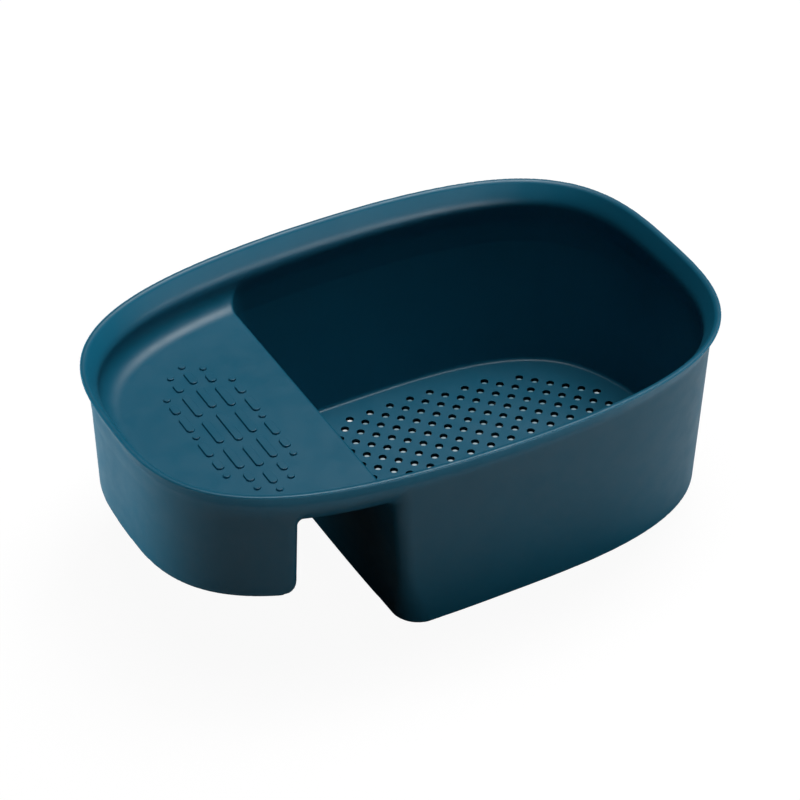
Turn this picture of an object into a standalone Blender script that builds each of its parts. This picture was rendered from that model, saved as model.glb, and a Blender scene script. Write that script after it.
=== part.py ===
# Saddle-type sink drain basket: a deep perforated basket and a shallow tray that
# sit either side of a sink divider. The real object is one moulding; here each
# functional zone of the moulding is a named solid, 0.3 mm clear of its neighbours.
#
# Frame: metres, +Z up. Origin at the middle of the footprint, on the underside of
# the basket floor. +X runs to the deep basket end, -X to the tray end, and the
# object is symmetric about the XZ plane.

import bpy
import bmesh
import math

MM = 0.001

# ---------------------------------------------------------------- driving dimensions (mm)
RIM_HALF_LEN = 102.1        # outer half length of the rim
RIM_HALF_WID = 67.4         # outer half width of the rim
RIM_Z = 70.2                # top of the rim
FLARE_Z = 63.5              # where the lip starts to flare out of the wall
LIP_LAND = 2.2              # width of the flat top of the lip
MID_X = 9.6                 # x of the widest section
POWER_TOP = 2.85            # roundness exponent of the outline under the lip
POWER_BASE = 2.98           # roundness exponent of the outline at the floor

WALL_TOP = dict(xl=-100.3, xr=100.7, b=64.7)     # outer outline at FLARE_Z
WALL_BASE = dict(xl=-99.3, xr=100.3, b=58.3)     # the same outline carried to z = 0
WALL_T = 1.8                # wall thickness

FLOOR_T = 1.9               # floor thickness
PITCH = 3.95                # half the pitch of the centred square hole pattern
HOLE_D = 2.9                # drain hole diameter
HOLE_SIDES = 6
LATTICE_X0 = -0.53          # x of the pattern's zero column
ROW_MAX = {0: 22, 1: 21, 2: 22, 3: 21, 4: 22, 5: 21, 6: 20, 7: 19, 8: 18, 9: 17, 10: 14, 11: 9}
ROW_MIN = {0: -4, 1: -3, 2: -4, 3: -3, 4: -4, 5: -3, 6: -4, 7: -3, 8: -2, 9: -1, 10: 0, 11: 1}

SADDLE_X_BASE = -30.9       # outer face of the saddle wall at the floor
SADDLE_X_TOP = -35.9        # outer face of the saddle wall at the deck underside
CORNER_R = 10.0             # outer radius of the basket's two upright corners
SADDLE_EDGE = 12.0          # distance from side wall to where the flat saddle wall starts

DECK_Z = 53.9               # top of the tray deck
DECK_FILLET = 10.7          # inside radius from deck up to the wall

SKIRT_X = -66.1             # upright edges of the hanging skirt
SKIRT_Z = 26.4              # bottom of the skirt
SKIRT_CORNER_R = 6.3        # radius of the skirt's lower corners
ARCH_R = 6.0                # radius where the skirt edge turns under the tray
ARCH_Z = 58.4               # height of the slot's arch at the side walls

PIP_H = 0.6                 # height of the raised grip marks
PIP_W = 3.4                 # width of a grip mark
PIP_X = -61.8               # middle column of the marks
PIP_PITCH = 5.75            # spacing of the columns
PIP_GAP = 1.9               # clear space between marks in a column

GAP = 0.3                   # clearance between neighbouring solids

JOIN_X = -26.6              # where the tray's side wall hands over to the basket's

BLUE = (0.020, 0.075, 0.105, 1.0)


# ---------------------------------------------------------------- outline helpers
def level(z):
    """Outer wall outline parameters at height z, by straight draft."""
    k = (FLARE_Z - z) / FLARE_Z
    return dict(
        xl=WALL_TOP["xl"] + (WALL_BASE["xl"] - WALL_TOP["xl"]) * k,
        xr=WALL_TOP["xr"] + (WALL_BASE["xr"] - WALL_TOP["xr"]) * k,
        b=WALL_TOP["b"] + (WALL_BASE["b"] - WALL_TOP["b"]) * k,
        n=POWER_TOP + (POWER_BASE - POWER_TOP) * k)


def rim_level():
    return dict(xl=-RIM_HALF_LEN, xr=RIM_HALF_LEN, b=RIM_HALF_WID, n=POWER_TOP)


def outline_point(p, t):
    """Point and outward normal of the rounded outline at angle parameter t."""
    c, s = math.cos(t), math.sin(t)
    e = 2.0 / p["n"]
    a = (p["xr"] - MID_X) if c >= 0 else (MID_X - p["xl"])
    x = MID_X + a * math.copysign(abs(c) ** e, c)
    y = p["b"] * math.copysign(abs(s) ** e, s)
    nx = math.copysign(abs(c) ** (2.0 - e), c) / a
    ny = math.copysign(abs(s) ** (2.0 - e), s) / p["b"]
    m = math.hypot(nx, ny)
    return x, y, nx / m, ny / m


def even_params(count, lo=0.0, hi=2.0 * math.pi, closed=True):
    """Angle parameters spaced evenly along the outline under the lip."""
    p = level(FLARE_Z)
    fine = 4000
    ts, run = [lo], [0.0]
    px, py, _, _ = outline_point(p, lo)
    for i in range(1, fine + 1):
        t = lo + (hi - lo) * i / fine
        x, y, _, _ = outline_point(p, t)
        run.append(run[-1] + math.hypot(x - px, y - py))
        ts.append(t)
        px, py = x, y
    out, j = [], 0
    steps = count if closed else count - 1
    for i in range(count):
        goal = run[-1] * i / steps
        while j < fine and run[j + 1] < goal:
            j += 1
        if j >= fine:
            out.append(ts[-1])
            continue
        f = (goal - run[j]) / max(run[j + 1] - run[j], 1e-12)
        out.append(ts[j] + (ts[j + 1] - ts[j]) * f)
    return out


def inset_ring(p, inset, z, params):
    ring = []
    for t in params:
        x, y, nx, ny = outline_point(p, t)
        ring.append((x - nx * inset, y - ny * inset, z))
    return ring


def d_outline(z, inset, face_x, corner_r, n_curve=44, n_arc=4):
    """Plan outline of the basket: the rounded outline cut by an upright face
    at face_x, its two corners rounded to corner_r. Counter-clockwise."""
    p = level(z)
    r = max(corner_r - inset, 0.2)
    fx = face_x + inset
    lo, hi = math.pi * 0.45, math.pi * 0.98
    for _ in range(60):
        mid = 0.5 * (lo + hi)
        x, y, nx, ny = outline_point(p, mid)
        if x - nx * (inset + r) > fx + r:
            lo = mid
        else:
            hi = mid
    t_end = 0.5 * (lo + hi)
    x, y, nx, ny = outline_point(p, t_end)
    cx, cy = x - nx * (inset + r), y - ny * (inset + r)
    pts = []
    base = even_params(n_curve, -t_end, t_end, closed=False)
    for t in base:
        qx, qy, mx, my = outline_point(p, t)
        pts.append((qx - mx * inset, qy - my * inset, z))
    a0 = math.atan2(ny, nx)
    for i in range(1, n_arc + 1):
        a = a0 + (math.pi - a0) * i / n_arc
        pts.append((cx + r * math.cos(a), cy + r * math.sin(a), z))
    for i in range(n_arc, 0, -1):
        a = a0 + (math.pi - a0) * i / n_arc
        pts.append((cx + r * math.cos(a), -(cy + r * math.sin(a)), z))
    return pts


# ---------------------------------------------------------------- mesh helpers
def material(name, rough=0.42):
    m = bpy.data.materials.new(name)
    m.use_nodes = True
    b = m.node_tree.nodes["Principled BSDF"]
    b.inputs["Base Color"].default_value = BLUE
    b.inputs["Roughness"].default_value = rough
    b.inputs["Metallic"].default_value = 0.0
    m.diffuse_color = BLUE
    return m


def finish_mesh(bm, name):
    bmesh.ops.recalc_face_normals(bm, faces=bm.faces)
    me = bpy.data.meshes.new(name)
    bm.to_mesh(me)
    bm.free()
    ob = bpy.data.objects.new(name, me)
    bpy.context.scene.collection.objects.link(ob)
    return ob


def stack(rings, name):
    """Closed solid through a stack of equal-count rings, capped at both ends."""
    bm = bmesh.new()
    rows = [[bm.verts.new((x * MM, y * MM, z * MM)) for x, y, z in ring] for ring in rings]
    n = len(rows[0])
    for a, b in zip(rows[:-1], rows[1:]):
        for i in range(n):
            j = (i + 1) % n
            bm.faces.new((a[i], a[j], b[j], b[i]))
    bm.faces.new(list(reversed(rows[0])))
    bm.faces.new(rows[-1])
    return finish_mesh(bm, name)


def loop_sweep(sections, name):
    """Closed ring: each section is a closed loop of points; last joins first."""
    bm = bmesh.new()
    rows = [[bm.verts.new((x * MM, y * MM, z * MM)) for x, y, z in s] for s in sections]
    n, m = len(rows), len(rows[0])
    for i in range(n):
        a, b = rows[i], rows[(i + 1) % n]
        for k in range(m):
            bm.faces.new((a[k], a[(k + 1) % m], b[(k + 1) % m], b[k]))
    return finish_mesh(bm, name)


def block(x0, x1, y0, y1, z0, z1, name):
    bm = bmesh.new()
    bmesh.ops.create_cube(bm, size=1.0)
    for v in bm.verts:
        v.co.x = (x0 + (v.co.x + 0.5) * (x1 - x0)) * MM
        v.co.y = (y0 + (v.co.y + 0.5) * (y1 - y0)) * MM
        v.co.z = (z0 + (v.co.z + 0.5) * (z1 - z0)) * MM
    return finish_mesh(bm, name)


def prism(points, name):
    """Closed prism across the full width from an (x, z) outline."""
    bm = bmesh.new()
    near = [bm.verts.new((x * MM, -0.1, z * MM)) for x, z in points]
    far = [bm.verts.new((x * MM, 0.1, z * MM)) for x, z in points]
    n = len(points)
    for k in range(n):
        bm.faces.new((near[k], near[(k + 1) % n], far[(k + 1) % n], far[k]))
    bm.faces.new(list(reversed(near)))
    bm.faces.new(far)
    return finish_mesh(bm, name)


def apply_boolean(target, tool, op):
    mod = target.modifiers.new(op.lower(), "BOOLEAN")
    mod.operation = op
    mod.solver = "EXACT"
    mod.object = tool
    deps = bpy.context.evaluated_depsgraph_get()
    deps.update()
    me = bpy.data.meshes.new_from_object(target.evaluated_get(deps))
    target.modifiers.clear()
    old = target.data
    target.data = me
    bpy.data.meshes.remove(old)
    tm = tool.data
    bpy.data.objects.remove(tool)
    bpy.data.meshes.remove(tm)
    return target


def dress(ob, mat, smooth_deg=32.0):
    ob.data.materials.clear()
    ob.data.materials.append(mat)
    ob.data.shade_smooth()
    ob.data.set_sharp_from_angle(angle=math.radians(smooth_deg))
    return ob


# ---------------------------------------------------------------- zones of the moulding
def make_rim_lip():
    """Flared lip all round the top: a thin band that leans out from the wall."""
    params = even_params(72)
    low, high = level(FLARE_Z), rim_level()

    def at(z, depth, t):
        k = (z - FLARE_Z) / (RIM_Z - FLARE_Z)
        p = {key: low[key] + (high[key] - low[key]) * k for key in ("xl", "xr", "b", "n")}
        x, y, nx, ny = outline_point(p, t)
        return (x - nx * depth, y - ny * depth, z)

    section = [(FLARE_Z + GAP, 0.0), (RIM_Z - 0.6, 0.0), (RIM_Z, 0.55), (RIM_Z, LIP_LAND - 0.4),
               (RIM_Z - 0.5, LIP_LAND), (FLARE_Z + GAP, WALL_T + 0.15)]
    return loop_sweep([[at(z, d, t) for z, d in section] for t in params], "rim_lip")


def make_floor():
    """Floor plate with a centred square pattern of drain holes."""
    rings = []
    for z, inset in ((0.0, 0.6), (0.2, 0.18), (0.6, 0.0), (FLOOR_T, 0.0)):
        rings.append(d_outline(z, inset, SADDLE_X_BASE, CORNER_R))
    plate = stack(rings, "basket_floor")
    bm = bmesh.new()
    for row in range(-11, 12):
        top = ROW_MAX[abs(row)]
        low = ROW_MIN[abs(row)]
        for col in range(low, top + 1, 2):
            x, y = LATTICE_X0 + col * PITCH, row * PITCH
            lo = [bm.verts.new(((x + 0.5 * HOLE_D * math.cos(2 * math.pi * (k + 0.5) / HOLE_SIDES)) * MM,
                                (y + 0.5 * HOLE_D * math.sin(2 * math.pi * (k + 0.5) / HOLE_SIDES)) * MM,
                                -1.0 * MM)) for k in range(HOLE_SIDES)]
            hi = [bm.verts.new((v.co.x, v.co.y, (FLOOR_T + 1.0) * MM)) for v in lo]
            for k in range(HOLE_SIDES):
                j = (k + 1) % HOLE_SIDES
                bm.faces.new((lo[k], lo[j], hi[j], hi[k]))
            bm.faces.new(list(reversed(lo)))
            bm.faces.new(hi)
    drills = finish_mesh(bm, "drills")
    return apply_boolean(plate, drills, "DIFFERENCE")


def saddle_x(z):
    return SADDLE_X_BASE + (SADDLE_X_TOP - SADDLE_X_BASE) * z / (DECK_Z - WALL_T)


def dish_rings(offset, floor_z, radius, params, top_z, over=0.0):
    """Rings of a dish: flat bottom at floor_z, edge rounded up by radius."""
    rings = []
    steps = 6
    centre = floor_z + radius
    last = math.acos(max(0.0, (centre - top_z) / radius))
    for i in range(steps + 1):
        a = last * i / steps
        z = centre - radius * math.cos(a)
        d = offset + radius * (1.0 - math.sin(a))
        rings.append(inset_ring(level(z), d, z, params))
    if over:
        rings.append(inset_ring(level(top_z), rings_depth(offset, radius, centre, top_z), top_z + over, params))
    return rings


def rings_depth(offset, radius, centre, z):
    """Inset of a dish's rounded edge at height z."""
    h = min(max(centre - z, 0.0), radius)
    return offset + radius - math.sqrt(radius ** 2 - h ** 2)


def basket_levels(z_lo, z_hi, inset, grow=0.0):
    return [d_outline(z, inset, saddle_x(z), CORNER_R) for z in (z_lo - grow, z_hi + grow)]


def make_basket_wall():
    """Side walls of the deep basket with its two upright corners, up to the lip."""
    z_lo, z_hi = FLOOR_T + GAP, FLARE_Z
    wall = stack(basket_levels(z_lo, z_hi, 0.0), "basket_wall")
    core = stack(basket_levels(z_lo, z_hi, WALL_T, grow=2.0), "core")
    wall = apply_boolean(wall, core, "DIFFERENCE")
    y_cut = level(z_lo)["b"] - SADDLE_EDGE
    slot = block(-60.0, -20.0, -y_cut, y_cut, -5.0, 80.0, "slot")
    wall = apply_boolean(wall, slot, "DIFFERENCE")
    params = even_params(72)
    radius = DECK_FILLET + WALL_T + GAP
    rings = dish_rings(-GAP, DECK_Z - WALL_T - GAP, radius, params, FLARE_Z, over=4.0)
    dish = stack(rings, "dish")
    right = block(JOIN_X + GAP, 140.0, -100.0, 100.0, 0.0, 100.0, "right")
    dish = apply_boolean(dish, right, "DIFFERENCE")
    return apply_boolean(wall, dish, "DIFFERENCE")


def make_saddle_wall():
    """Sloping wall that closes the basket beside the divider."""
    z_lo, z_hi = FLOOR_T + GAP, DECK_Z - WALL_T - GAP
    y = level(z_lo)["b"] - SADDLE_EDGE - GAP
    bm = bmesh.new()
    v = {}
    for zi, z in enumerate((z_lo, z_hi)):
        x = saddle_x(z)
        for yi, yy in enumerate((-y, y)):
            v[zi, yi, 0] = bm.verts.new((x * MM, yy * MM, z * MM))
            v[zi, yi, 1] = bm.verts.new(((x + WALL_T) * MM, yy * MM, z * MM))
    bm.faces.new((v[0, 0, 0], v[0, 1, 0], v[1, 1, 0], v[1, 0, 0]))
    bm.faces.new((v[0, 0, 1], v[1, 0, 1], v[1, 1, 1], v[0, 1, 1]))
    bm.faces.new((v[0, 0, 0], v[1, 0, 0], v[1, 0, 1], v[0, 0, 1]))
    bm.faces.new((v[0, 1, 0], v[0, 1, 1], v[1, 1, 1], v[1, 1, 0]))
    bm.faces.new((v[0, 0, 0], v[0, 0, 1], v[0, 1, 1], v[0, 1, 0]))
    bm.faces.new((v[1, 0, 0], v[1, 1, 0], v[1, 1, 1], v[1, 0, 1]))
    return finish_mesh(bm, "saddle_wall")


def grip_marks():
    """Raised marks: five columns of round-ended bars, longest in the middle."""
    half = {0: 35.0, 1: 31.0, 2: 21.5}
    shares = {0: (0.0, 1.25, 2.2, 3.6, 2.2, 1.25, 0.0),
              1: (0.0, 0.9, 2.2, 3.0, 2.2, 0.9, 0.0),
              2: (0.0, 0.75, 1.35, 0.0, 1.35, 0.75, 0.0)}
    marks = []
    for col in (-2, -1, 0, 1, 2):
        h, share = half[abs(col)], shares[abs(col)]
        free = 2 * h - 7 * PIP_W - 6 * PIP_GAP
        unit = free / sum(share)
        y = -h
        for s in share:
            length = s * unit
            marks.append((PIP_X + col * PIP_PITCH, y + PIP_W / 2, y + PIP_W / 2 + length))
            y += PIP_W + length + PIP_GAP
    return marks


def make_deck():
    """Tray deck: flat plate whose edge rounds up into the wall, open over the basket."""
    params = even_params(72)
    z_under, top = DECK_Z - WALL_T, FLARE_Z
    body = stack(dish_rings(0.0, z_under, DECK_FILLET + WALL_T, params, top), "tray_deck")
    core = stack(dish_rings(WALL_T, DECK_Z, DECK_FILLET, params, top, over=3.0), "core")
    body = apply_boolean(body, core, "DIFFERENCE")
    right = block(JOIN_X, 140.0, -100.0, 100.0, 0.0, 100.0, "right")
    body = apply_boolean(body, right, "DIFFERENCE")
    # the basket's mouth, with its rounded corners
    mouth = stack([d_outline(z, WALL_T + 0.15, saddle_x(z) - 0.15, CORNER_R) for z in (40.0, 80.0)], "mouth")
    body = apply_boolean(body, mouth, "DIFFERENCE")
    bm = bmesh.new()
    r = PIP_W / 2
    for x, y0, y1 in grip_marks():
        rim = []
        for k in range(5):
            a = math.pi * k / 4
            rim.append((x + r * math.cos(a), y1 + r * math.sin(a)))
        for k in range(5):
            a = math.pi + math.pi * k / 4
            rim.append((x + r * math.cos(a), y0 + r * math.sin(a)))
        clean = [q for i, q in enumerate(rim) if math.dist(q, rim[i - 1]) > 0.05]
        lo = [bm.verts.new((px * MM, py * MM, (DECK_Z - 0.4) * MM)) for px, py in clean]
        hi = [bm.verts.new((v.co.x, v.co.y, (DECK_Z + PIP_H) * MM)) for v in lo]
        n = len(lo)
        for k in range(n):
            bm.faces.new((lo[k], lo[(k + 1) % n], hi[(k + 1) % n], hi[k]))
        bm.faces.new(list(reversed(lo)))
        bm.faces.new(hi)
    marks = finish_mesh(bm, "marks")
    return apply_boolean(body, marks, "UNION")


def make_skirt():
    """Wall that hangs below the tray end, open towards the divider slot."""
    params = even_params(72)
    radius = DECK_FILLET + WALL_T
    centre = DECK_Z - WALL_T + radius
    # the top edge follows the rounded underside of the deck's edge
    tops = []
    for d in (0.0, 0.35, 0.9, WALL_T):
        tops.append((d, centre - math.sqrt(radius ** 2 - (radius - d) ** 2) - GAP - 0.12))
    section = [(0.0, SKIRT_Z)] + [(0.0, min(tops[0][1], FLARE_Z - 1.2))] + tops[1:] + [(WALL_T, SKIRT_Z)]
    sweep = []
    for t in params:
        loop = []
        for d, z in section:
            x, y, nx, ny = outline_point(level(z), t)
            loop.append((x - nx * d, y - ny * d, z))
        sweep.append(loop)
    skirt = loop_sweep(sweep, "tray_skirt")
    # the upright edge, turning under the tray by ARCH_R at the top
    edge = [(140.0, 10.0), (SKIRT_X, 10.0)]
    for i in range(6):
        a = math.pi / 2 * i / 5
        edge.append((SKIRT_X + ARCH_R - ARCH_R * math.cos(a), ARCH_Z - ARCH_R + ARCH_R * math.sin(a)))
    edge += [(SKIRT_X + ARCH_R, 90.0), (140.0, 90.0)]
    skirt = apply_boolean(skirt, prism(edge, "edge"), "DIFFERENCE")
    # lower corners of the two upright edges
    r = SKIRT_CORNER_R
    pts = [(SKIRT_X + 2.0, SKIRT_Z - 2.0), (SKIRT_X + 2.0, SKIRT_Z + r)]
    for i in range(5):
        a = math.pi / 2 * i / 4
        pts.append((SKIRT_X - r + r * math.cos(a), SKIRT_Z + r - r * math.sin(a)))
    pts.append((SKIRT_X - r, SKIRT_Z - 2.0))
    return apply_boolean(skirt, prism(pts, "corner"), "DIFFERENCE")


def main():
    for ob in list(bpy.data.objects):
        bpy.data.objects.remove(ob)
    dress(make_rim_lip(), material("rim_plastic", 0.38))
    dress(make_basket_wall(), material("wall_plastic", 0.45))
    dress(make_floor(), material("floor_plastic", 0.45))
    dress(make_saddle_wall(), material("saddle_plastic", 0.45))
    dress(make_deck(), material("deck_plastic", 0.42))
    dress(make_skirt(), material("skirt_plastic", 0.45))


main()
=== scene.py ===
import math

import bpy
import numpy as np
from mathutils import Matrix, Vector, geometry


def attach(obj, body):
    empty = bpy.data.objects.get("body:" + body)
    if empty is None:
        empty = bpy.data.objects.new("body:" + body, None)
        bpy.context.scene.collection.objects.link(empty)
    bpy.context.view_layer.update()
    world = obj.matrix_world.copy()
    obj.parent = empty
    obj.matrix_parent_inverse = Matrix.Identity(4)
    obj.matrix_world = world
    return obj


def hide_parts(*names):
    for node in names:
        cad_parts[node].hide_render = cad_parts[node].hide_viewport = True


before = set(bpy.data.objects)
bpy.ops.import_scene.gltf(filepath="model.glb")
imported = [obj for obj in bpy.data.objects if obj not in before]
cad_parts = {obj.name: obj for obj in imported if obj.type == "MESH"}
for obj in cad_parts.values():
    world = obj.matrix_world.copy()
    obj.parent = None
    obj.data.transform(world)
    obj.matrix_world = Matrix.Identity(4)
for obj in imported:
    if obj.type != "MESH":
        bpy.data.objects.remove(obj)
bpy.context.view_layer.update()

# Lengths below are in millimetres in the row frame, unless a name says otherwise.
MM = 0.001

# ------------------------------------------------------------------ dimensions
MID_X = 9.6                 # x of the widest section
FLARE_Z = 64.2              # where the lip starts to flare
RIM_Z = 70.1                # top of the rim
LIP_OUT = 2.55              # how far the lip leans out
LIP_T = 2.1                 # thickness of the lip at the top
NECK_T = 2.7                # thickness where the lip starts to flare
WALL_T = 1.8

XL_TOP, XR_TOP, B_TOP, N_TOP = -100.25, 100.65, 64.65, 2.85      # outline at FLARE_Z
XL_LOW, XR_LOW, B_LOW, N_LOW = -99.3, 99.8, 58.3, 2.98         # outline at z = 0

SWELL = (0.03, -0.07, -0.38, -0.26, -0.06, -0.06, -0.25, 0.04, 0.14)     # the rim's departure from the oval, cosine terms

FLOOR_Z = 1.9               # top of the perforated floor
FLOOR_R = 1.1               # fillet between floor and wall
FOOT_IN = 4.3               # the back wall's inner face leans in by this much more at its foot
FOOT_R = 0.6                # rounding of the base's outer edge

SADDLE_X = -30.9            # saddle wall's outer face at z = 0
SADDLE_SLOPE = -0.0800      # its lean, dx/dz
SADDLE_BOW = 0.8            # bow of its foot over 45 mm to either side
CORNER_R = 8.5              # radius of the basket's upright corners
CORNER_TIGHT = 4.2          # how much less it is on the outside, higher up

DECK_Z = 53.9               # top of the tray deck
DECK_T = 1.8
DECK_R = (9.8, 7.4)          # fillet from deck to wall, inside: front side, back side
STEP_R = 0.7                # rounding of the deck's edge over the basket

SKIRT_X = -64.7             # upright edges of the skirt
SKIRT_Z = 26.4
SKIRT_CORNER = 6.3
ARCH_TOP = 60.0
ARCH_R = 6.0
ROLL_R = 3.8                # the skirt's free edge rolls inward by this radius
ROLL_W = 4.6                # and ends this far inside the outer face

PLATE_Z = 0.70              # underside of the perforated plate, inside the foot ring
PITCH = 3.95
HOLE_R = 1.26               # the holes narrow a little towards the underside
HOLE_LOW = 1.02
HOLE_EDGE = 0.16
LATTICE_X0 = -0.53
ROW_MAX = {0: 22, 1: 21, 2: 22, 3: 21, 4: 22, 5: 21, 6: 20, 7: 19, 8: 18, 9: 17, 10: 14, 11: 9}
ROW_MIN = {0: -4, 1: -3, 2: -4, 3: -3, 4: -4, 5: -3, 6: -4, 7: -3, 8: -2, 9: -1, 10: 0, 11: 1}

CELL = 0.8      # mesh size of the moulded shell


# ------------------------------------------------------------------ shape functions
def meet(a, b, r):
    """Intersection of two distance fields, its edge rounded to radius r."""
    return np.minimum(np.maximum(a, b), -r) + np.hypot(np.maximum(a + r, 0.0), np.maximum(b + r, 0.0))


def join(a, b, r):
    """Union of two distance fields, its crease rounded to radius r."""
    return -meet(-a, -b, r)


def blend(a, b, k):
    """Union with a soft crease of size k."""
    k = np.maximum(k, 1e-4)
    h = np.clip(0.5 + 0.5 * (b - a) / k, 0.0, 1.0)
    return b * (1.0 - h) + a * h - k * h * (1.0 - h)


def step01(t):
    t = np.clip(t, 0.0, 1.0)
    return t * t * (3.0 - 2.0 * t)


def lip(z):
    """Outward lean of the lip at height z: none below FLARE_Z, LIP_OUT at the rim."""
    s = (z - FLARE_Z) / (RIM_Z - FLARE_Z)
    w = 0.20
    ramp = 0.5 * (s + np.sqrt(s * s + w * w))
    top = 0.5 * (1.0 + math.sqrt(1.0 + w * w))
    return LIP_OUT * ramp / top * step01((z - FLARE_Z + 12.0) / 9.0)


def plan(x, y, z):
    """Signed distance, in plan, from the outer wall's outline at height z."""
    k = (FLARE_Z - z) / FLARE_Z
    out = lip(z)
    xl = XL_TOP + (XL_LOW - XL_TOP) * k - out
    xr = XR_TOP + (XR_LOW - XR_TOP) * k + out
    b = B_TOP + (B_LOW - B_TOP) * k + out
    n = N_TOP + (N_LOW - N_TOP) * k
    e = 1.0 / n

    def once(px, py):
        right = px >= MID_X
        a = np.where(right, xr - MID_X, MID_X - xl)
        u = np.maximum(np.abs(px - MID_X) / a, 1e-6)
        v = np.maximum(np.abs(py) / b, 1e-6)
        un, vn = u ** n, v ** n
        total = un + vn
        s = total ** e
        g = s / total
        gx = g * un / u / a
        gy = g * vn / v / b
        m = np.hypot(gx, gy)
        return (s - 1.0) / m, gx / m * np.where(right, 1.0, -1.0), gy / m * np.sign(py)

    d1, nx, ny = once(x, y)
    far = np.clip(d1, -16.0, 16.0)
    d2, _, _ = once(x - far * nx, y - far * ny)
    d = d1 + np.where(np.abs(d1) < 16.0, d2, 0.0)

    u = (x - MID_X) / np.where(x >= MID_X, xr - MID_X, MID_X - xl)
    v = y / b
    c = u / np.maximum(np.hypot(u, v), 1e-6)
    before, now, swell = 1.0, c, SWELL[0] + SWELL[1] * c
    for term in SWELL[2:]:
        before, now = now, 2.0 * c * now - before
        swell = swell + term * now
    return d - swell * np.clip(z / FLARE_Z, 0.0, 1.0)


SADDLE_COS = 1.0 / math.hypot(1.0, SADDLE_SLOPE)


def saddle_face(x, y, z, inset):
    """Distance to the saddle wall, which leans, and whose foot bows slightly."""
    bow = SADDLE_BOW * ((y / 45.0) ** 2 - 0.57) * np.clip(1.0 - z / 45.0, 0.0, 1.0)
    return (SADDLE_X + SADDLE_SLOPE * z + bow + inset - x) * SADDLE_COS


def well_plan(d, x, y, z, inset):
    """The deep basket's plan region: inside the wall and beyond the saddle wall."""
    radius = CORNER_R - inset
    if inset == 0.0:
        radius = CORNER_R - CORNER_TIGHT * step01(z / 22.0)
    return meet(d + inset, saddle_face(x, y, z, inset), radius)


def shell(x, y, z):
    """The moulding as one distance field: negative inside the plastic."""
    d = plan(x, y, z)
    t = WALL_T + (NECK_T - WALL_T) * step01((z - 54.5) / 8.5) + (LIP_T - NECK_T) * np.clip((z - 63.0) / (RIM_Z - 63.0), 0.0, 1.0)
    fade = np.clip((DECK_Z + 8.0 - z) / 7.0, 0.0, 1.0)
    soft = 1.6 * np.clip((62.5 - z) / 5.0, 0.0, 1.0)

    # the air inside: tray recess and deep basket
    deck_r = DECK_R[0] + (DECK_R[1] - DECK_R[0]) * step01((y + 42.0) / 48.0)
    recess = meet(d + t, DECK_Z - z, deck_r)
    foot = FOOT_IN * step01((y + 5.0) / 38.0) * np.clip(1.0 - z / 48.0, 0.0, 1.0)
    well = meet(d + t + foot, saddle_face(x, y, z, WALL_T), CORNER_R - WALL_T)
    well = meet(well, FLOOR_Z - 0.03 - z, FLOOR_R)
    air = join(recess, well, STEP_R * fade)

    # the outside: tray, tub and skirt
    tray = meet(d, DECK_Z - DECK_T - z, deck_r + DECK_T)
    tub = meet(well_plan(d, x, y, z, 0.0), -z, FOOT_R)
    edge = join(x - SKIRT_X, ARCH_TOP - z, ARCH_R)
    low = meet(edge, SKIRT_Z - z, SKIRT_CORNER)
    roll = 0.8 + (ROLL_R - 0.8) * step01((z - SKIRT_Z - 0.5) / 6.0)
    skirt_out = meet(d, low, roll)
    skirt_in = meet(d + WALL_T, edge + WALL_T, np.maximum(roll - WALL_T, 0.25))
    skirt = meet(skirt_out, -skirt_in, 0.45)
    skirt = meet(skirt, -(d + ROLL_W), 0.6)
    body = blend(blend(tray, tub, soft), skirt, soft)

    solid = np.maximum(body, -air)
    solid = meet(solid, z - RIM_Z, 0.9)

    # room for the perforated plate
    window = np.maximum(well_plan(d, x, y, z, 8.8), z - 4.0)
    return np.maximum(solid, -window)


# ------------------------------------------------------------------ meshing
def net(field, lo, hi, h):
    """Quad mesh of field = 0 on a regular grid, one vertex in each crossed cell."""
    axes = [np.arange(lo[i], hi[i] + h, h) for i in range(3)]
    nx, ny, nz = (len(a) for a in axes)
    f = np.empty((nx, ny, nz))
    yy, zz = np.meshgrid(axes[1], axes[2], indexing="ij")
    slab = 24
    for i in range(0, nx, slab):
        xs = axes[0][i:i + slab]
        gx = np.broadcast_to(xs[:, None, None], (len(xs), ny, nz))
        gy = np.broadcast_to(yy, (len(xs), ny, nz))
        gz = np.broadcast_to(zz, (len(xs), ny, nz))
        f[i:i + slab] = field(gx, gy, gz)
    inside = f < 0.0
    shape = (nx - 1, ny - 1, nz - 1)
    total = np.zeros((shape[0] * shape[1] * shape[2], 3))
    count = np.zeros(total.shape[0])
    faces = []
    for axis in range(3):
        a = [slice(None)] * 3
        b = [slice(None)] * 3
        a[axis], b[axis] = slice(0, -1), slice(1, None)
        change = inside[tuple(a)] != inside[tuple(b)]
        idx = np.argwhere(change)
        fa, fb = f[tuple(a)][change], f[tuple(b)][change]
        pos = idx.astype(float)
        pos[:, axis] += fa / (fa - fb)
        u, v = (axis + 1) % 3, (axis + 2) % 3
        ids = []
        for du, dv in ((-1, -1), (0, -1), (0, 0), (-1, 0)):
            c = idx.copy()
            c[:, u] += du
            c[:, v] += dv
            flat = (c[:, 0] * shape[1] + c[:, 1]) * shape[2] + c[:, 2]
            ids.append(flat)
            for k in range(3):
                total[:, k] += np.bincount(flat, pos[:, k], len(count))
            count += np.bincount(flat, minlength=len(count))
        q = np.stack(ids, 1)
        flip = fa > fb
        q[flip] = q[flip][:, ::-1]
        faces.append(q)
    faces = np.concatenate(faces)
    used = np.flatnonzero(count)
    remap = np.full(len(count), -1)
    remap[used] = np.arange(len(used))
    verts = total[used] / count[used][:, None] * h + np.array([a[0] for a in axes])
    return verts, remap[faces]


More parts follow.
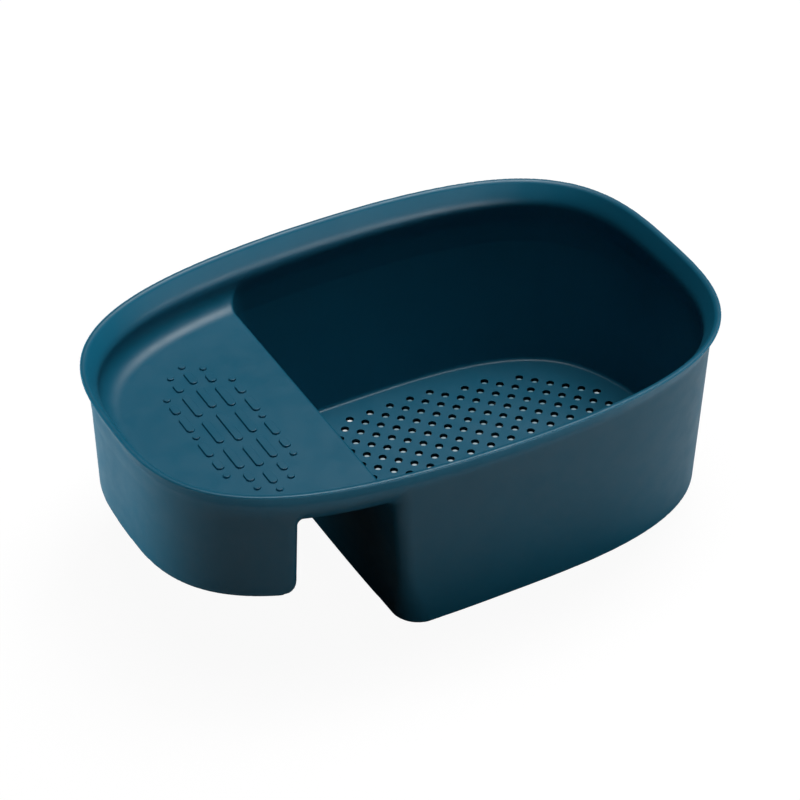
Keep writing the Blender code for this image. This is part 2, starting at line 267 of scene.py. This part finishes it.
def gradient(field, p, e=0.02):
    g = np.empty_like(p)
    for k in range(3):
        q, r = p.copy(), p.copy()
        q[:, k] += e
        r[:, k] -= e
        g[:, k] = (field(q[:, 0], q[:, 1], q[:, 2]) - field(r[:, 0], r[:, 1], r[:, 2])) / (2 * e)
    return g


def settle(field, p, rounds, reach):
    for _ in range(rounds):
        g = gradient(field, p)
        f = field(p[:, 0], p[:, 1], p[:, 2])
        move = (f / np.maximum((g * g).sum(1), 0.2))[:, None] * g
        size = np.linalg.norm(move, axis=1, keepdims=True)
        p = p - move * np.minimum(1.0, reach / np.maximum(size, 1e-9))
    return p


def even_out(p, faces, field, rounds, reach):
    """Slides vertices along the surface towards their neighbours' middle."""
    a = np.concatenate([faces[:, 0], faces[:, 1], faces[:, 2], faces[:, 3]])
    b = np.concatenate([faces[:, 1], faces[:, 2], faces[:, 3], faces[:, 0]])
    n = len(p)
    deg = np.bincount(a, minlength=n) + np.bincount(b, minlength=n)
    for _ in range(rounds):
        mean = np.stack([np.bincount(a, p[b, k], n) + np.bincount(b, p[a, k], n) for k in range(3)], 1) / deg[:, None]
        p = settle(field, p + 0.5 * (mean - p), 1, reach)
    return p


def refine(p, faces, pick):
    """Splits the quads whose corners are all picked into four; their neighbours take up the new edge points."""
    inner = pick[faces].all(1)
    n = len(p)
    a, b = faces, np.roll(faces, -1, 1)
    key = np.minimum(a, b) * n + np.maximum(a, b)
    cut = np.unique(key[inner])
    mids = 0.5 * (p[cut // n] + p[cut % n])
    found = np.searchsorted(cut, key)
    found = np.minimum(found, len(cut) - 1)
    has = cut[found] == key
    edge_id = np.where(has, n + found, -1)
    centres = p[faces[inner]].mean(1)
    first = n + len(cut)
    c = first + np.arange(len(centres))
    f, e = faces[inner], edge_id[inner]
    quads = [np.stack([f[:, k], e[:, k], c, e[:, k - 1]], 1) for k in range(4)]
    out = np.concatenate(quads).tolist()
    for face, ids in zip(faces[~inner].tolist(), edge_id[~inner].tolist()):
        ring = []
        for v, m in zip(face, ids):
            ring.append(v)
            if m >= 0:
                ring.append(m)
        out.append(ring)
    return np.concatenate([p, mids, centres]), out


def mesh_object(name, verts_mm, faces, normals=None):
    me = bpy.data.meshes.new(name)
    me.from_pydata((np.asarray(verts_mm) * MM).tolist(), [], [list(f) for f in np.asarray(faces).tolist()] if isinstance(faces, np.ndarray) else faces)
    me.update()
    me.shade_smooth()
    if normals is not None:
        me.normals_split_custom_set_from_vertices(np.asarray(normals).tolist())
    ob = bpy.data.objects.new(name, me)
    bpy.context.scene.collection.objects.link(ob)
    return ob


def make_shell():
    lo, hi = (-104.4, -69.2, -1.1), (104.4, 69.2, 71.4)
    verts, faces = net(shell, lo, hi, CELL)
    verts = settle(shell, verts, 2, CELL * 0.7)
    verts = even_out(verts, faces, shell, 3, CELL * 0.5)
    verts = settle(shell, verts, 2, CELL * 0.3)
    verts, faces = refine(verts, faces, verts[:, 2] > 66.9)
    near = verts[:, 2] > 66.0
    verts[near] = settle(shell, verts[near], 3, CELL * 0.3)
    g = gradient(shell, verts, 0.04)
    g /= np.maximum(np.linalg.norm(g, axis=1, keepdims=True), 1e-9)
    return mesh_object("basket_shell", verts, faces, g)


# ------------------------------------------------------------------ perforated floor
def floor_outline(inset, count):
    """Plan points of the floor's outline, inset from the basket's outer wall."""
    pts = []
    for i in range(count):
        a = 2.0 * math.pi * i / count
        c, s = math.cos(a), math.sin(a)
        lo_r, hi_r = 5.0, 140.0
        pts.append([c, s, lo_r, hi_r])
    arr = np.array(pts)
    c, s, lo_r, hi_r = arr.T
    cx = 33.0
    z = np.full(count, FLOOR_Z)
    for _ in range(40):
        mid = 0.5 * (lo_r + hi_r)
        x, y = cx + c * mid, s * mid
        inside = well_plan(plan(x, y, z), x, y, z, inset) < 0.0
        lo_r = np.where(inside, mid, lo_r)
        hi_r = np.where(inside, hi_r, mid)
    return np.stack([cx + c * lo_r, s * lo_r], 1)


def hole_centres():
    out = []
    for row in range(-11, 12):
        for col in range(ROW_MIN[abs(row)], ROW_MAX[abs(row)] + 1, 2):
            out.append((LATTICE_X0 + col * PITCH, row * PITCH))
    return out


def make_floor():
    """Flat plate with round drain holes, each with a slightly rounded edge."""
    sides = 28
    edge_r, wide = HOLE_EDGE, HOLE_R + HOLE_EDGE
    rim = floor_outline(3.45, 220)
    pts = [Vector((float(x), float(y))) for x, y in rim]
    loops = [list(range(len(pts)))]
    for hx, hy in hole_centres():
        start = len(pts)
        for k in range(sides):
            a = 2.0 * math.pi * k / sides
            pts.append(Vector((hx + wide * math.cos(a), hy + wide * math.sin(a))))
        loops.append(list(range(start, start + sides)))
    edges = []
    for loop in loops:
        edges += [(loop[i], loop[(i + 1) % len(loop)]) for i in range(len(loop))]
    v2, _, tris, _, _, _ = geometry.delaunay_2d_cdt(pts, edges, [], 0, 1e-4)
    v2 = np.array([(v.x, v.y) for v in v2])
    tris = np.array([list(t) for t in tris])
    mid = v2[tris].mean(1)
    centres = np.array(hole_centres())
    keep = np.ones(len(tris), bool)
    for hx, hy in centres:
        keep &= np.hypot(mid[:, 0] - hx, mid[:, 1] - hy) > wide * 0.985
    z = np.full(len(mid), FLOOR_Z)
    keep &= well_plan(plan(mid[:, 0], mid[:, 1], z), mid[:, 0], mid[:, 1], z, 3.44) < 0.0
    tris = tris[keep]
    a, b, c = v2[tris[:, 0]], v2[tris[:, 1]], v2[tris[:, 2]]
    area = (b[:, 0] - a[:, 0]) * (c[:, 1] - a[:, 1]) - (b[:, 1] - a[:, 1]) * (c[:, 0] - a[:, 0])
    tris[area < 0] = tris[area < 0][:, ::-1]
    n = len(v2)
    top = np.c_[v2, np.full(n, FLOOR_Z)]
    bottom = np.c_[v2, np.full(n, PLATE_Z)]
    verts = [top, bottom]
    normals = [np.tile((0.0, 0.0, 1.0), (n, 1)), np.tile((0.0, 0.0, -1.0), (n, 1))]
    faces = [list(t) for t in tris.tolist()] + [[k + n for k in t[::-1]] for t in tris.tolist()]
    base = 2 * n
    angles = np.array([0.0, 30.0, 60.0, 90.0])
    for hx, hy in centres:
        rings = []
        for ang in angles:
            t = math.radians(ang)
            rings.append((wide - edge_r * math.sin(t), FLOOR_Z - edge_r * (1.0 - math.cos(t)), -math.sin(t), math.cos(t)))
        rings.append((HOLE_LOW, PLATE_Z + 0.10, -0.97, 0.24))
        rings.append((HOLE_LOW + 0.04, PLATE_Z + 0.02, -0.70, -0.71))
        rings.append((wide, PLATE_Z, 0.0, -1.0))
        th = 2.0 * np.pi * np.arange(sides) / sides
        for rad, zz, nr, nz in rings:
            verts.append(np.c_[hx + rad * np.cos(th), hy + rad * np.sin(th), np.full(sides, zz)])
            normals.append(np.c_[nr * np.cos(th), nr * np.sin(th), np.full(sides, nz)])
        for r in range(len(rings) - 1):
            for k in range(sides):
                k2 = (k + 1) % sides
                p, q = base + r * sides, base + (r + 1) * sides
                faces.append([p + k, q + k, q + k2, p + k2])
        base += len(rings) * sides
    rim_t = np.c_[rim, np.full(len(rim), FLOOR_Z)]
    rim_b = np.c_[rim, np.full(len(rim), PLATE_Z)]
    verts += [rim_t, rim_b]
    out = rim - np.array([33.0, 0.0])
    out /= np.linalg.norm(out, axis=1, keepdims=True)
    side_n = np.c_[out, np.zeros(len(rim))]
    normals += [side_n, side_n]
    m = len(rim)
    for k in range(m):
        k2 = (k + 1) % m
        faces.append([base + m + k, base + m + k2, base + k2, base + k])
    return mesh_object("drain_floor", np.concatenate(verts), faces, np.concatenate(normals))


# ------------------------------------------------------------------ raised grip marks
MARK_X = -61.8
MARK_PITCH = 5.75
MARK_W = 2.75
MARK_H = 0.62
# for each column, out from the middle one: (distance of the mark's middle from the centre line, its length)
MARK_ROWS = {0: ((0.0, 15.8), (16.6, 11.2), (28.3, 6.9), (34.9, 2.4)),
             1: ((0.0, 12.5), (14.7, 11.5), (25.3, 4.7), (31.1, 2.3)),
             2: ((0.0, 2.4), (6.9, 7.9), (15.6, 4.9), (21.5, 2.4))}


def marks():
    out = []
    for col in (-2, -1, 0, 1, 2):
        for mid, length in MARK_ROWS[abs(col)]:
            width = min(MARK_W, length)
            half = (length - width) / 2
            for side in ((1,) if mid == 0.0 else (1, -1)):
                out.append((MARK_X + col * MARK_PITCH, side * mid - half, side * mid + half, width / 2))
    return out


def make_marks():
    """Round-ended bars with softly rounded shoulders, standing on the deck."""
    turn = 18
    # profile from the deck up to the crown: (distance inside the outline, height, outward part, upward part)
    prof = [(-0.14, -0.25, 0.5, 0.87), (-0.10, 0.0, 0.6, 0.8), (0.0, 0.10, 0.94, 0.34), (0.02, 0.30, 0.99, 0.10)]
    for deg in (15, 40, 65, 90):
        t = math.radians(deg)
        prof.append((0.04 + 0.24 * (1 - math.cos(t)), MARK_H - 0.22 * (1 - math.sin(t)), math.cos(t), math.sin(t)))
    prof.append((0.8, MARK_H + 0.03, 0.0, 1.0))
    verts, normals, faces, base = [], [], [], 0
    ang = np.concatenate([np.linspace(0, math.pi, turn), np.linspace(math.pi, 2 * math.pi, turn)])
    top = np.arange(2 * turn) < turn
    for x, y0, y1, r0 in marks():
        m = 2 * turn
        for inset, z, no, nu in prof:
            r = r0 - inset
            verts.append(np.c_[x + r * np.cos(ang), np.where(top, y1, y0) + r * np.sin(ang), np.full(m, DECK_Z + z)])
            normals.append(np.c_[no * np.cos(ang), no * np.sin(ang), np.full(m, nu)])
        for i in range(len(prof) - 1):
            for k in range(m):
                k2 = (k + 1) % m
                p, q = base + i * m, base + (i + 1) * m
                faces.append([p + k, p + k2, q + k2, q + k])
        q = base + (len(prof) - 1) * m
        faces.append([q + k for k in range(m)])
        base += len(prof) * m
    return mesh_object("grip_marks", np.concatenate(verts), faces, np.concatenate(normals))


# ------------------------------------------------------------------ material
def plastic(name, rough, grain):
    """Satin moulded polypropylene: fine texture, faint mottling, softly worn gloss."""
    m = bpy.data.materials.new(name)
    m.use_nodes = True
    nt = m.node_tree
    nodes, links = nt.nodes, nt.links
    bsdf = nodes["Principled BSDF"]
    bsdf.inputs["Metallic"].default_value = 0.0
    bsdf.inputs["IOR"].default_value = 1.49
    bsdf.inputs["Specular IOR Level"].default_value = 0.50

    where = nodes.new("ShaderNodeTexCoord")
    cloud = nodes.new("ShaderNodeTexNoise")
    cloud.inputs["Scale"].default_value = 42.0
    cloud.inputs["Detail"].default_value = 4.0
    cloud.inputs["Roughness"].default_value = 0.55
    links.new(where.outputs["Object"], cloud.inputs["Vector"])
    tone = nodes.new("ShaderNodeValToRGB")
    tone.color_ramp.elements[0].position = 0.30
    tone.color_ramp.elements[0].color = (0.0042, 0.1080, 0.1840, 1.0)
    tone.color_ramp.elements[1].position = 0.72
    tone.color_ramp.elements[1].color = (0.0052, 0.1160, 0.1960, 1.0)
    links.new(cloud.outputs["Fac"], tone.inputs["Fac"])
    links.new(tone.outputs["Color"], bsdf.inputs["Base Color"])

    patch = nodes.new("ShaderNodeTexNoise")
    patch.inputs["Scale"].default_value = 160.0
    patch.inputs["Detail"].default_value = 5.0
    links.new(where.outputs["Object"], patch.inputs["Vector"])
    gloss = nodes.new("ShaderNodeMapRange")
    gloss.inputs["From Min"].default_value = 0.3
    gloss.inputs["From Max"].default_value = 0.7
    gloss.inputs["To Min"].default_value = rough - 0.04
    gloss.inputs["To Max"].default_value = rough + 0.05
    links.new(patch.outputs["Fac"], gloss.inputs["Value"])
    links.new(gloss.outputs["Result"], bsdf.inputs["Roughness"])

    fine = nodes.new("ShaderNodeTexNoise")
    fine.inputs["Scale"].default_value = 1500.0
    fine.inputs["Detail"].default_value = 3.0
    links.new(where.outputs["Object"], fine.inputs["Vector"])
    flow = nodes.new("ShaderNodeTexNoise")
    flow.inputs["Scale"].default_value = 28.0
    flow.inputs["Detail"].default_value = 2.0
    links.new(where.outputs["Object"], flow.inputs["Vector"])
    bump_big = nodes.new("ShaderNodeBump")
    bump_big.inputs["Strength"].default_value = 0.10
    bump_big.inputs["Distance"].default_value = 0.0006
    links.new(flow.outputs["Fac"], bump_big.inputs["Height"])
    bump = nodes.new("ShaderNodeBump")
    bump.inputs["Strength"].default_value = grain
    bump.inputs["Distance"].default_value = 0.00004
    links.new(fine.outputs["Fac"], bump.inputs["Height"])
    links.new(bump_big.outputs["Normal"], bump.inputs["Normal"])
    links.new(bump.outputs["Normal"], bsdf.inputs["Normal"])
    return m


# ------------------------------------------------------------------ build the object
body_mat = plastic("teal_satin_plastic", 0.40, 0.35)

shell_ob = make_shell()
shell_ob.data.materials.append(body_mat)
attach(shell_ob, "root")
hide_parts("rim_lip", "basket_wall", "saddle_wall", "tray_deck", "tray_skirt")

floor_ob = make_floor()
floor_ob.data.materials.append(body_mat)
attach(floor_ob, "root")
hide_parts("basket_floor")

marks_ob = make_marks()
marks_ob.data.materials.append(body_mat)
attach(marks_ob, "root")

# ------------------------------------------------------------------ stage
def floor_plane(name, z, albedo, glow):
    me = bpy.data.meshes.new(name)
    w = 6.0
    me.from_pydata([(-w, -w, z), (w, -w, z), (w, w, z), (-w, w, z)], [], [(0, 1, 2, 3)])
    ob = bpy.data.objects.new(name, me)
    bpy.context.scene.collection.objects.link(ob)
    m = bpy.data.materials.new(name)
    m.use_nodes = True
    b = m.node_tree.nodes["Principled BSDF"]
    b.inputs["Base Color"].default_value = (albedo, albedo, albedo, 1.0)
    b.inputs["Roughness"].default_value = 0.9
    b.inputs["Specular IOR Level"].default_value = 0.0
    b.inputs["Emission Color"].default_value = (1.0, 1.0, 1.0, 1.0)
    b.inputs["Emission Strength"].default_value = glow
    me.materials.append(m)
    return ob


# the pale floor that is seen, with a painted shadow in its glow under the basket, and the tone that it throws back on
# the object
floor_seen = floor_plane("ground", -0.0004, 0.10, 0.94)
nt = floor_seen.data.materials[0].node_tree
spot = nt.nodes.new("ShaderNodeTexCoord")
place = nt.nodes.new("ShaderNodeMapping")
place.vector_type = "TEXTURE"
place.inputs["Location"].default_value = (0.034, 0.0, 0.0)
place.inputs["Scale"].default_value = (0.062, 0.053, 1.0)
nt.links.new(spot.outputs["Object"], place.inputs["Vector"])
reach = nt.nodes.new("ShaderNodeVectorMath")
reach.operation = "LENGTH"
nt.links.new(place.outputs["Vector"], reach.inputs[0])
# mask of the painted shadow under the basket
edge = nt.nodes.new("ShaderNodeMapRange")       # 0 under the basket, 1 outside it
edge.inputs["From Min"].default_value = 0.90
edge.inputs["From Max"].default_value = 1.0
nt.links.new(reach.outputs["Value"], edge.inputs["Value"])
along = nt.nodes.new("ShaderNodeVectorMath")
along.operation = "DOT_PRODUCT"
along.inputs[1].default_value = (0.35, 0.90, 0.0)
nt.links.new(spot.outputs["Object"], along.inputs[0])
span = nt.nodes.new("ShaderNodeMapRange")
span.inputs["From Min"].default_value = -0.032
span.inputs["From Max"].default_value = 0.048
nt.links.new(along.outputs["Value"], span.inputs["Value"])
under = nt.nodes.new("ShaderNodeValToRGB")      # painted shadow: the floor's glow is darker and bluer where the basket stands on it, most so at the back
under.color_ramp.elements[0].position = 0.0
under.color_ramp.elements[0].color = (0.86, 0.95, 0.98, 1.0)
under.color_ramp.elements[1].position = 1.0
under.color_ramp.elements[1].color = (0.12, 0.24, 0.29, 1.0)
nt.links.new(span.outputs["Result"], under.inputs["Fac"])
painted_shadow_mix = nt.nodes.new("ShaderNodeMix")
painted_shadow_mix.data_type = "RGBA"
painted_shadow_mix.inputs[7].default_value = (1.0, 1.0, 1.0, 1.0)
nt.links.new(edge.outputs["Result"], painted_shadow_mix.inputs[0])
nt.links.new(under.outputs["Color"], painted_shadow_mix.inputs[6])
nt.links.new(painted_shadow_mix.outputs[2], nt.nodes["Principled BSDF"].inputs["Emission Color"])
floor_seen.visible_diffuse = False
floor_seen.visible_glossy = False
floor_seen.visible_transmission = False
floor_seen.visible_shadow = False
floor_bounce = floor_plane("ground_bounce", -0.0002, 0.18, 0.0)
floor_bounce.visible_camera = False
floor_bounce.visible_glossy = False
floor_bounce.visible_shadow = False
floor_gloss = floor_plane("ground_gloss", -0.0003, 0.75, 0.0)
floor_gloss.visible_camera = False
floor_gloss.visible_diffuse = False
floor_gloss.visible_shadow = False

world = bpy.data.worlds.new("soft_room")
bpy.context.scene.world = world
world.use_nodes = True
bg = world.node_tree.nodes["Background"]
bg.inputs["Color"].default_value = (1.0, 1.0, 1.0, 1.0)
bg.inputs["Strength"].default_value = 1.0
world.cycles_visibility.diffuse = False
world.cycles_visibility.glossy = False
world.cycles_visibility.transmission = False


def softbox(name, bearing, height, size, power, shine=True, reach=1.3):
    """Area light aimed at the object; bearing in degrees, 0 behind it, 90 to its right; height is its elevation in degrees."""
    aim = Vector((0.0, 0.0, 0.04))
    b, e = math.radians(bearing), math.radians(height)
    place = aim + reach * Vector((math.sin(b) * math.cos(e), math.cos(b) * math.cos(e), math.sin(e)))
    light = bpy.data.lights.new(name, "AREA")
    light.shape = "RECTANGLE"
    light.size, light.size_y = size
    light.energy = power
    ob = bpy.data.objects.new(name, light)
    ob.location = place
    ob.rotation_euler = (aim - place).to_track_quat("-Z", "Y").to_euler()
    ob.visible_camera = False
    ob.visible_glossy = shine
    bpy.context.scene.collection.objects.link(ob)
    return ob


# overhead boxes, a little behind and to the right
softbox("top_back", 0, 85, (0.55, 0.55), 4.2)
softbox("top_right", 90, 80, (0.55, 0.55), 2.8)
softbox("top_corner", 60, 65, (0.55, 0.55), 7.4)
# narrow strips that skim the rim from the front and right
softbox("strip_front_right", 142, 4.1, (0.7, 0.06), 4.2)
softbox("strip_front", 172, 4.1, (0.7, 0.06), 10.2)
# low strips all round, below the rim
softbox("strip_low_front", 164, -0.2, (0.6, 0.04), 0.215, shine=False, reach=0.30)
softbox("strip_left", 310, -0.2, (0.6, 0.05), 12.0, shine=False)
softbox("strip_back_left", 335, -0.2, (0.6, 0.05), 16.0, shine=False)
softbox("strip_back_right", 60, -0.2, (0.6, 0.05), 8.0, shine=False)
softbox("strip_right", 98, -0.2, (0.6, 0.05), 7.4, shine=False)


def flag(name, line, top):
    """Black upright card along a line of plan points, unseen by the camera, that shades what is below it."""
    verts = [(x, y, z) for x, y in line for z in (0.0, top)]
    faces = [(2 * i, 2 * i + 2, 2 * i + 3, 2 * i + 1) for i in range(len(line) - 1)]
    me = bpy.data.meshes.new(name)
    me.from_pydata(verts, [], faces)
    ob = bpy.data.objects.new(name, me)
    bpy.context.scene.collection.objects.link(ob)
    m = bpy.data.materials.new(name)
    m.use_nodes = True
    b = m.node_tree.nodes["Principled BSDF"]
    b.inputs["Base Color"].default_value = (0.0, 0.0, 0.0, 1.0)
    b.inputs["Roughness"].default_value = 0.9
    b.inputs["Specular IOR Level"].default_value = 0.0
    me.materials.append(m)
    ob.visible_camera = False
    return ob


# one keeps the low strips off the wall under the tray, the other keeps the rim strips off the front wall
flag("flag_tray", [(-0.05, -0.052), (-0.05, 0.052)], 0.05)
flag("flag_front", [(0.34 * math.sin(math.radians(b)), 0.34 * math.cos(math.radians(b))) for b in range(115, 236, 5)], 0.0840)

# ------------------------------------------------------------------ camera
cam = bpy.data.cameras.new("camera")
cam.sensor_fit = "HORIZONTAL"
cam.sensor_width = 36.0
cam.lens = 126.0
cam.clip_start = 0.02
cam.clip_end = 50.0
cam_ob = bpy.data.objects.new("camera", cam)
az, el = math.radians(28.85), math.radians(37.93)
forward = Vector((math.sin(az) * math.cos(el), math.cos(az) * math.cos(el), -math.sin(el)))
cam_ob.location = (-0.34668, -0.62789, 0.60023)
cam_ob.rotation_euler = forward.to_track_quat("-Z", "Y").to_euler()
bpy.context.scene.collection.objects.link(cam_ob)
bpy.context.scene.camera = cam_ob

view = bpy.context.scene.view_settings
view.view_transform = "Standard"
view.look = "None"
view.exposure = 0.0
view.gamma = 1.0
